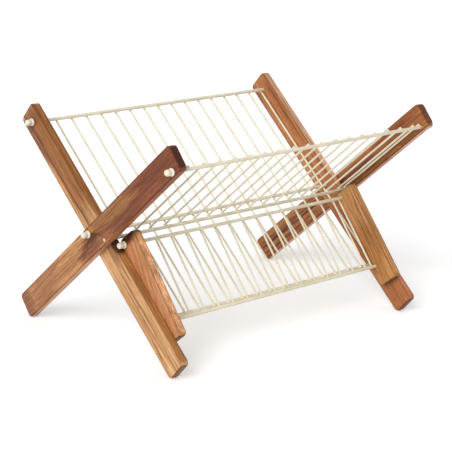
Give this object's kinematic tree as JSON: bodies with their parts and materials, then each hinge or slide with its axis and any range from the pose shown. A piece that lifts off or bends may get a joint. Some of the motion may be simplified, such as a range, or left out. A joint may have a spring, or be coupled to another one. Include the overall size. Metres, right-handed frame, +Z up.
{
  "type": "folding dish drainer",
  "caption": "Folding X-frame dish drainer with wooden legs, coated rods and wires, and a swinging lower rack.",
  "frame": {"origin": "middle of the bounding box's base, on the surface the drainer stands on", "axes": "+Z up, +X along the rods to the right, -Y to the front, where the lower rack is"},
  "size_m": [0.456, 0.3242, 0.2833],
  "materials": {
    "oiled_acacia": "oiled, satin, streaky grain along each leg",
    "cream_coated_steel": "cream powder coat, satin",
    "cream_plastic": "moulded, satin"
  },
  "bodies": {
    "back_frame": {"back_bottom_rod": "cream_coated_steel", "back_leg_left": "oiled_acacia", "back_leg_right": "oiled_acacia", "back_top_cap_left": "cream_plastic", "back_top_cap_right": "cream_plastic", "back_top_rod": "cream_coated_steel", "back_wire_01": "cream_coated_steel", "back_wire_02": "cream_coated_steel", "back_wire_03": "cream_coated_steel", "back_wire_04": "cream_coated_steel", "back_wire_05": "cream_coated_steel", "back_wire_06": "cream_coated_steel", "back_wire_07": "cream_coated_steel", "back_wire_08": "cream_coated_steel", "back_wire_09": "cream_coated_steel", "back_wire_10": "cream_coated_steel", "back_wire_11": "cream_coated_steel", "back_wire_12": "cream_coated_steel", "back_wire_13": "cream_coated_steel", "back_wire_14": "cream_coated_steel", "back_wire_15": "cream_coated_steel", "back_wire_16": "cream_coated_steel", "back_wire_17": "cream_coated_steel", "pivot_cap_left": "cream_plastic", "pivot_cap_right": "cream_plastic", "pivot_rod": "cream_coated_steel"},
    "front_frame": {"front_leg_left": "oiled_acacia", "front_leg_right": "oiled_acacia", "front_top_cap_left": "cream_plastic", "front_top_cap_right": "cream_plastic", "front_top_rod": "cream_coated_steel", "front_wire_01": "cream_coated_steel", "front_wire_02": "cream_coated_steel", "front_wire_03": "cream_coated_steel", "front_wire_04": "cream_coated_steel", "front_wire_05": "cream_coated_steel", "front_wire_06": "cream_coated_steel", "front_wire_07": "cream_coated_steel", "front_wire_08": "cream_coated_steel", "front_wire_09": "cream_coated_steel", "front_wire_10": "cream_coated_steel", "front_wire_11": "cream_coated_steel", "front_wire_12": "cream_coated_steel", "front_wire_13": "cream_coated_steel", "front_wire_14": "cream_coated_steel", "front_wire_15": "cream_coated_steel", "front_wire_16": "cream_coated_steel", "front_wire_17": "cream_coated_steel", "front_wire_18": "cream_coated_steel", "front_wire_19": "cream_coated_steel", "stop_rod": "cream_coated_steel"},
    "lower_rack": {"lower_cap_left": "cream_plastic", "lower_cap_right": "cream_plastic", "lower_grille": "cream_coated_steel", "lower_leg_left": "oiled_acacia", "lower_leg_right": "oiled_acacia"}
  },
  "joints": [
    {"name": "fold", "type": "hinge", "parent": "back_frame", "child": "front_frame", "pos_m": [0, 0.00441, 0.14327], "axis": [-1, 0, 0], "range_deg": [0, 90]},
    {"name": "lower_rack_swing", "type": "hinge", "parent": "back_frame", "child": "lower_rack", "pos_m": [0, -0.10785, 0.05691], "axis": [1, 0, 0], "range_deg": [0, 75]}
  ]
}
